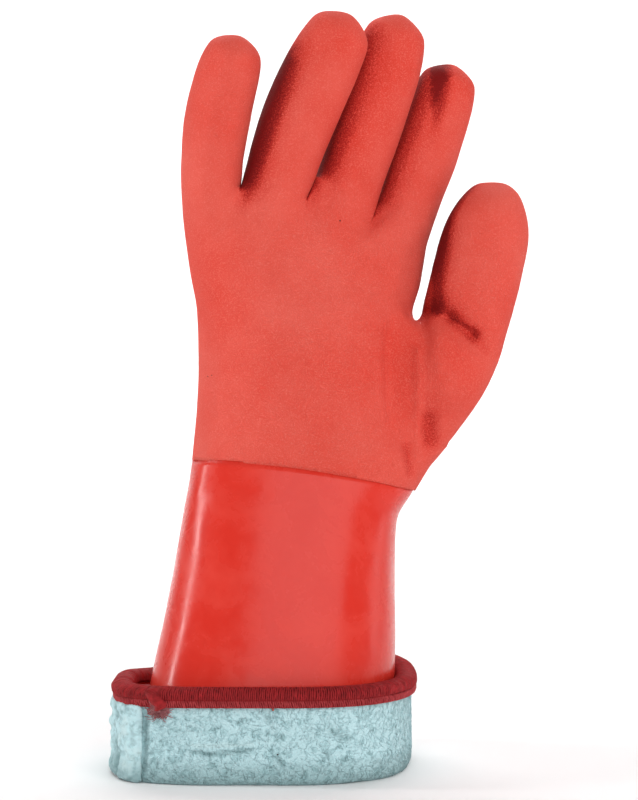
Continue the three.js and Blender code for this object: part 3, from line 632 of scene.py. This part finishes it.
rim_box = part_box("rim_binding")
rim_foot = rim_box[0][2]
cuff_middle = Vector(((rim_box[0][0] + rim_box[1][0]) / 2, (rim_box[0][1] + rim_box[1][1]) / 2, CUFF_HEART))
work = bmesh.new()
work.from_mesh(lining.data)
inner = [f for f in work.faces if f.calc_center_median().z > rim_foot + UNDER_RIM
         or f.calc_center_median().z < OVER_GROUND
         or f.normal.dot(f.calc_center_median() - cuff_middle) < 0
         or (f.calc_center_median() - cuff_middle).length < CUFF_CORE]
bmesh.ops.delete(work, geom=inner, context="FACES")
outer_cuff = bpy.data.meshes.new("outer_cuff")
work.to_mesh(outer_cuff)
work.free()
fibres = brushed_fibres("brushed_fibres", outer_cuff, FIBRE_COUNT, pile, FIBRE_SEED)
points, _ = points_and_normals(fibres)
points[:, 2] = np.maximum(points[:, 2], 0)
set_points(fibres, points)
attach(fibres, "root")


# Overlocked edge: dark red polyester thread sewn round the rim over coat and lining. Its loops lie side
# by side over the rim in a roll, and below a groove the chain that locks them makes a flatter edge.
THREAD_PITCH = 0.00082
THREAD_RADIUS = 0.00038
CHAIN_RADIUS = 0.00033
LOOP_SIDES = 5
# the thinnest loops stand this share of a thread's radius out of the edge
LOOP_LOWEST = 0.75
# how the rim's middle line is felt out and smoothed
RIM_CENTRE_DROP = 0.0032
RIM_STEPS = 360
RIM_ROUNDS = 3
LOOK_AHEAD = 0.001
FEEL_STEP = 0.0004
FEELER = 0.012
REACH = 0.2
# where a loop's points lie round the rim in degrees: 0 looks outwards, 90 up and 180 to the inside
LOOP_TURNS = (-9, -3, 4, 15, 30, 48, 68, 90, 112, 135, 158, 180, 192)
# how far a loop slants and wanders along the rim, and the roll's swell at its outside
LOOP_SLANT = 0.0011
LOOP_WANDER = 0.0001
ROLL_SWELL = 0.00045
ROLL_TURN = 10
ROLL_SPREAD = 38
# how far below the rim's top, along it and out of it the chain's points lie, in millimetres
CHAIN_POINTS = ((4.55, 0.0, 0.15), (5.2, 0.25, 0.5), (6.1, 0.5, 0.5), (6.95, 0.65, 0.15))
CHAIN_WANDER = 0.00012
THREAD_SEED = 4

binding = smooth_copy("rim_binding", "overlocked_edge", 2, (0.0, 1.0))


def thread_material(name, dark, bright):
    """Spun polyester thread: matt and a little hairy, in two tones that change where it is worn."""
    material = new_material(name)
    place = add(material, "ShaderNodeTexCoord")
    wear = add(material, "ShaderNodeTexNoise", {
        "Vector": place.outputs["Object"], "Scale": scale_of(2.38), "Detail": 4, "Roughness": 0.7})
    tone = add(material, "ShaderNodeValToRGB", {"Fac": wear.outputs["Fac"]})
    tone.color_ramp.elements[0].position = 0.35
    tone.color_ramp.elements[0].color = linear(dark)
    tone.color_ramp.elements[1].position = 0.7
    tone.color_ramp.elements[1].color = linear(bright)
    fibre = add(material, "ShaderNodeTexNoise", {
        "Vector": place.outputs["Object"], "Scale": scale_of(0.385), "Detail": 2})
    bump = add(material, "ShaderNodeBump", {
        "Height": fibre.outputs["Fac"], "Strength": 0.5, "Distance": 0.0002})
    return finish_material(material, add(material, "ShaderNodeBsdfPrincipled", {
        "Base Color": tone.outputs["Color"], "Roughness": 0.75, "Specular IOR Level": 0.3,
        "Normal": bump.outputs["Normal"]}))


thread = thread_material("dark_red_polyester_thread", "#7c1014", "#a81f24")
chain_thread = thread_material("worn_red_polyester_thread", "#8f2226", "#b84144")
binding.data.materials.append(thread)


def threads(name, paths, radius, sides, material):
    """Thin round threads along the given paths, all in one mesh, made by Geometry Nodes."""
    spots = [tuple(p) for path in paths for p in path]
    edges = []
    start = 0
    for path in paths:
        edges += [(k, k + 1) for k in range(start, start + len(path) - 1)]
        start += len(path)
    mesh = bpy.data.meshes.new(name)
    mesh.from_pydata(spots, edges, [])
    piece = bpy.data.objects.new(name, mesh)
    scene.collection.objects.link(piece)
    tree = bpy.data.node_groups.new(name, "GeometryNodeTree")
    tree.interface.new_socket("Paths", in_out="INPUT", socket_type="NodeSocketGeometry")
    radius_input = tree.interface.new_socket("Radius", in_out="INPUT", socket_type="NodeSocketFloat")
    sides_input = tree.interface.new_socket("Sides", in_out="INPUT", socket_type="NodeSocketInt")
    tree.interface.new_socket("Threads", in_out="OUTPUT", socket_type="NodeSocketGeometry")
    given = add(tree, "NodeGroupInput")
    curves = add(tree, "GeometryNodeMeshToCurve", {0: given.outputs["Paths"]})
    ring = add(tree, "GeometryNodeCurvePrimitiveCircle", {
        "Radius": given.outputs["Radius"], "Resolution": given.outputs["Sides"]})
    skin = add(tree, "GeometryNodeCurveToMesh", {
        "Curve": curves.outputs[0], "Profile Curve": ring.outputs[0], "Fill Caps": True})
    real = add(tree, "GeometryNodeRealizeInstances", {0: skin.outputs[0]})
    dress = add(tree, "GeometryNodeSetMaterial", {"Geometry": real.outputs[0], "Material": material})
    add(tree, "NodeGroupOutput", {"Threads": dress.outputs[0]})
    modifier = piece.modifiers.new("threads", "NODES")
    modifier.node_group = tree
    modifier[radius_input.identifier] = radius
    modifier[sides_input.identifier] = sides
    plain_mesh(piece)
    return piece


# The rim's middle line is felt out on the edge itself, from outside, from inside and from above
edge_tree = surface_tree(binding)
low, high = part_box("rim_binding")
middle = Vector(((low[0] + high[0]) / 2, (low[1] + high[1]) / 2, 0))
rim_line = []
for angle in np.linspace(0, 2 * math.pi, RIM_STEPS, endpoint=False):
    way = Vector((math.cos(angle), math.sin(angle), 0))
    heights = np.arange(high[2], low[2], -FEEL_STEP)
    top_z = next(z for z in heights
                 if edge_tree.ray_cast(middle + way * REACH + Vector((0, 0, z)), -way, REACH)[0])
    level = Vector((0, 0, top_z - RIM_CENTRE_DROP))
    outer = edge_tree.ray_cast(middle + way * REACH + level, -way, REACH)[0]
    inner = edge_tree.ray_cast(middle + level, way, REACH)[0]
    centre = (outer + inner) / 2
    top = edge_tree.ray_cast(Vector((centre.x, centre.y, REACH)), Vector((0, 0, -1)))[0]
    rim_line.append((centre.x, centre.y, top.z))
rim_line = np.array(rim_line)
for _ in range(RIM_ROUNDS):
    rim_line = (np.roll(rim_line, 1, 0) + 2 * rim_line + np.roll(rim_line, -1, 0)) / 4
closed = np.vstack([rim_line, rim_line[:1]])
run = np.concatenate([[0], np.cumsum(np.linalg.norm(np.diff(closed, axis=0), axis=1))])


def rim_place(distance):
    """The rim's middle, its outward direction and its run at a distance along it."""
    spot = np.array([np.interp(distance % run[-1], run, closed[:, k]) for k in range(3)])
    ahead = np.array([np.interp((distance + LOOK_AHEAD) % run[-1], run, closed[:, k]) for k in range(3)])
    along = Vector(ahead - spot).normalized()
    return Vector(spot), Vector((along.y, -along.x, 0)).normalized(), along


def over_rim(distance, turn, lift):
    """A point on the edge's skin: turn 0 looks outwards, 90 up and 180 to the inside, in degrees."""
    top, outward, _ = rim_place(distance)
    centre = top - Vector((0, 0, RIM_CENTRE_DROP))
    way = outward * math.cos(math.radians(turn)) + Vector((0, 0, math.sin(math.radians(turn))))
    hit = edge_tree.ray_cast(centre + way * FEELER, -way)[0]
    return hit + way * lift if hit is not None else None


dice = np.random.default_rng(THREAD_SEED)
count = round(run[-1] / THREAD_PITCH)
roll_paths = []
for k in range(count):
    start = k * run[-1] / count
    lift = THREAD_RADIUS * (LOOP_LOWEST + (1 - LOOP_LOWEST) * dice.random())
    path = []
    for turn in LOOP_TURNS:
        share = (turn - LOOP_TURNS[0]) / (LOOP_TURNS[-1] - LOOP_TURNS[0])
        swell = ROLL_SWELL * math.exp(-((turn - ROLL_TURN) / ROLL_SPREAD) ** 2)
        spot = over_rim(start + LOOP_SLANT * share + LOOP_WANDER * dice.normal(), turn, lift + swell)
        if spot is not None:
            path.append(spot)
    roll_paths.append(path)
roll = threads("overlock_loops", roll_paths, THREAD_RADIUS, LOOP_SIDES, thread)
chain_paths = []
for k in range(count):
    start = k * run[-1] / count
    top, _, _ = rim_place(start)
    path = []
    for drop, side, lift in CHAIN_POINTS:
        level = top.z - drop * MM
        spot, facing, _ = rim_place(start + side * MM + CHAIN_WANDER * dice.normal())
        hit = edge_tree.ray_cast(Vector((spot.x, spot.y, level)) + facing * FEELER, -facing)[0]
        if hit is not None:
            path.append(hit + facing * lift * MM)
    if len(path) > 1:
        chain_paths.append(path)
chain = threads("overlock_chain", chain_paths, CHAIN_RADIUS, LOOP_SIDES, chain_thread)
for piece in (binding, roll, chain):
    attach(piece, "root")
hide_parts("rim_binding")


# Lining seam: the two ends of the lining meet on the cuff's left in a raised lap of the same pile. It was
# sewn through under tension, so it is puckered all the way down, and it bends with the cuff at the fold.
# below its bend the flap is stretched down to the ground
FLAP_STRETCH = 1.5
FLAP_BEND = 0.014
FLAP_LOWEST = 0.0007
# the gathers run down the flap, so their noise is read from a shortened height
GATHERS_SHORTEN = (1.0, 1.0, 0.45)
LONG_GATHERS = [(0.0012, 0.0046)]
FINE_GATHERS = [(0.0006, 0.0024), (0.00035, 0.0013)]
# height of a gather at which its painted shade or highlight is full
GATHERS_SHADING_SCALE = 0.0008
FLAP_SWELL = 0.0006
# x of the flap's right edge at two heights, how it wavers, and the ridge that runs along it, with the
# highlight painted on it
EDGE_Z = (0.0, 0.03)
EDGE_X = (-0.0700, -0.0682)
EDGE_WAVES = [(0.0008, 0.009)]
RIDGE_IN = 0.0014
RIDGE_WIDTH = 0.0013
RIDGE_HEIGHT = 0.0007
RIDGE_HIGHLIGHT = 0.15

flap = smooth_copy("seam_flap", "puckered_seam", 3, (0.0, 1.0))
points, normals = points_and_normals(flap)
cuff_tree = surface_tree(lining)


def cuff_reach(x, y, z):
    """How far the cuff stands out from its middle, towards x and y, at height z."""
    way = Vector((x - middle.x, y - middle.y, 0)).normalized()
    hit = cuff_tree.ray_cast(Vector((middle.x, middle.y, z)) + way * REACH, -way, REACH)[0]
    return way, (Vector((hit.x - middle.x, hit.y - middle.y, 0)).length if hit is not None else None)


# Its foot follows the cuff round its fold, down to the ground
for k in np.nonzero(points[:, 2] < FLAP_BEND)[0]:
    x, y, z = points[k]
    lower = max(FLAP_BEND - (FLAP_BEND - z) * FLAP_STRETCH, FLAP_LOWEST)
    way, before = cuff_reach(x, y, z)
    _, after = cuff_reach(x, y, lower)
    if before is not None and after is not None:
        points[k] = (x + way.x * (after - before), y + way.y * (after - before), lower)
from_middle = points[:, :2] - np.array((middle.x, middle.y))
outside = ((from_middle * normals[:, :2]).sum(1) > 0) * 1.0
edge_x = np.interp(points[:, 2], EDGE_Z, EDGE_X) + lumps(points, EDGE_WAVES)
ridge = np.exp(-((points[:, 0] - edge_x + RIDGE_IN) / RIDGE_WIDTH) ** 2) * (points[:, 1] < 0)
gathers = lumps(points * np.array(GATHERS_SHORTEN), LONG_GATHERS) + lumps(points, FINE_GATHERS)
points += normals * ((gathers + FLAP_SWELL + RIDGE_HEIGHT * ridge) * outside)[:, None]
# Painted shade in the gathers' hollows, and a painted highlight on their crests and along the ridge
pucker_shade_and_highlight = flap.data.attributes.new("pucker_shade_and_highlight", "FLOAT", "POINT")
pucker_shade_and_highlight.data.foreach_set("value", np.clip(gathers / GATHERS_SHADING_SCALE + RIDGE_HIGHLIGHT * ridge, -1, 1))
points[:, 2] = np.maximum(points[:, 2], 0)
set_points(flap, points)
flap.data.materials.append(pile)
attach(flap, "root")
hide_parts("seam_flap")


# Loose end of the thread edge: a short run of the same polyester loops, left when the edge was sewn. It
# hangs over the cuff, held at the rim alone, and frays out at its tip into a tuft of single fibres.
STRAND_COUNT = 420
STRAND_RADIUS = 0.00012
STRAND_SIDES = 4
STRAND_LENGTH = 0.0034
STRAND_SHARES = (0.4, 1.2)
STRAND_HEADINGS = (-1.2 * math.pi, 0.2 * math.pi)
STRAND_STEPS = 5
STRAND_CURL = 1.2
STRAND_LIFT = 0.0003
STRAND_ARCH = 0.0022
# x and z of the tuft's middle, and half its width and height, in millimetres
TUFT = (-63.2, 29.4)
TUFT_SPREAD = (2.4, 1.6)
# the loose end's foot is drawn in under the tuft, below this height
FOOT_TOP = 0.0325
FOOT_FADE = 0.003
FOOT_DRAWN_IN = 0.65
TAIL_SINK = 0.0004
# x and z of the strap's middle line, and how far its ribs reach to each side, in millimetres
STRAP = [(-66.5, 36.5), (-65.4, 34.4), (-63.7, 32.6), (-62.3, 31.2), (-62.2, 29.8)]
RIB_SIDES = (-2.1, -1.4, -0.7, 0, 0.7, 1.4, 2.1)
RIB_HALF = 2.2
RIB_COUNT = 20
RIB_SLANT = 0.35
RIB_LOW = 0.0008
RIB_RISE = 0.0019
RIB_RADIUS = 0.8 * THREAD_RADIUS
ROUND_SIDES = 6
FROM_FRONT = -0.1

frayed = thread_material("frayed_polyester_fibre", "#8a4448", "#bb7f80")
tail = smooth_copy("binding_tail", "loose_end", 2, (0.0, 1.0))
points, _ = points_and_normals(tail)
foot = np.clip((FOOT_TOP - points[:, 2]) / FOOT_FADE, 0, 1)[:, None]
drawn_in = np.array((TUFT[0] * MM, 0.0, TUFT[1] * MM)) + np.array((0, 1, 0)) * points
points += foot * FOOT_DRAWN_IN * (drawn_in - points)
set_points(tail, points + np.array((0.0, TAIL_SINK, 0.0)))
# The loose end's body under its loops is painted in a darker copy of the thread, as painted shade between the
# loops
tail.data.materials.append(thread_material("shade_painted_polyester_thread", "#52090c", "#76151a"))
tail_tree = surface_tree(tail)
strap_run = np.array(STRAP) * MM


def tail_skin(x, z, lift):
    """A point on the front of the loose end, or of the edge beside it."""
    start = Vector((x, FROM_FRONT, z))
    hit = tail_tree.ray_cast(start, Vector((0, 1, 0)))[0] or edge_tree.ray_cast(start, Vector((0, 1, 0)))[0]
    return hit - Vector((0, lift, 0)) if hit is not None else None


rib_paths = []
for place in np.linspace(0, len(STRAP) - 1, RIB_COUNT):
    x = np.interp(place, range(len(STRAP)), strap_run[:, 0])
    z = np.interp(place, range(len(STRAP)), strap_run[:, 1])
    path = [tail_skin(x + side * MM, z + side * RIB_SLANT * MM,
                      RIB_LOW + RIB_RISE * math.sqrt(1 - (side / RIB_HALF) ** 2)) for side in RIB_SIDES]
    path = [p for p in path if p is not None]
    if len(path) > 2:
        rib_paths.append(path)
ribs = threads("loose_end_loops", rib_paths, RIB_RADIUS, ROUND_SIDES, thread)
strand_paths = []
for _ in range(STRAND_COUNT):
    root_x = (TUFT[0] + TUFT_SPREAD[0] * dice.uniform(-1, 1)) * MM
    root_z = (TUFT[1] + TUFT_SPREAD[1] * dice.uniform(-1, 1)) * MM
    heading = dice.uniform(*STRAND_HEADINGS)
    length = STRAND_LENGTH * dice.uniform(*STRAND_SHARES)
    curl = dice.normal() * STRAND_CURL
    path = []
    for share in np.linspace(0, 1, STRAND_STEPS + 1):
        x = root_x + length * share * math.cos(heading + curl * share)
        z = root_z + length * share * math.sin(heading + curl * share)
        hit = tail_tree.ray_cast(Vector((x, FROM_FRONT, z)), Vector((0, 1, 0)))[0]
        hit = hit or cuff_tree.ray_cast(Vector((x, FROM_FRONT, z)), Vector((0, 1, 0)))[0]
        if hit is not None:
            lift = STRAND_LIFT + STRAND_ARCH * math.sin(math.pi * share) * dice.random()
            path.append(hit - Vector((0, lift, 0)))
    if len(path) > 2:
        strand_paths.append(path)
tuft = threads("frayed_tuft", strand_paths, STRAND_RADIUS, STRAND_SIDES, frayed)
for piece in (tail, ribs, tuft):
    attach(piece, "root")
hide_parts("binding_tail")


# Small marks of use: dark grit that stuck to the soft coat and the lining, and one bright polyester stitch
# of the seam that joins lining and coat, which shows below the thread edge.
GRIT = [(-46.5, 157.4), (-44.8, 157.8), (-48.4, 91.8), (-17.5, 12.0), (6.8, 220.0)]
GRIT_SIZE = 0.00028
GRIT_RUN = Vector((0.0004, 0, 0.0003))
STITCH = [(-19.1, 31.4), (-19.3, 30.2), (-19.0, 28.9)]
STITCH_RADIUS = 0.0003
hand_tree = surface_tree(hand)
sleeve_tree = surface_tree(sleeve)


def front_point(x, z, trees):
    """The first point that is met from the front at x and z, in millimetres."""
    for tree in trees:
        hit = tree.ray_cast(Vector((x * MM, FROM_FRONT, z * MM)), Vector((0, 1, 0)))[0]
        if hit is not None:
            return hit
    return None


grit_paths = []
for x, z in GRIT:
    spot = front_point(x, z, (hand_tree, cuff_tree, sleeve_tree))
    grit_paths.append([spot, spot + GRIT_RUN])
grit = threads("grit", grit_paths, GRIT_SIZE, ROUND_SIDES,
               thread_material("dark_grit", "#2a0f0d", "#46201c"))
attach(grit, "root")
stitch_path = [front_point(x, z, (cuff_tree,)) - Vector((0, STITCH_RADIUS, 0)) for x, z in STITCH]
stitch = threads("stray_stitch", [stitch_path], STITCH_RADIUS, ROUND_SIDES,
                 thread_material("orange_polyester_thread", "#b8402a", "#d65a40"))
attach(stitch, "root")
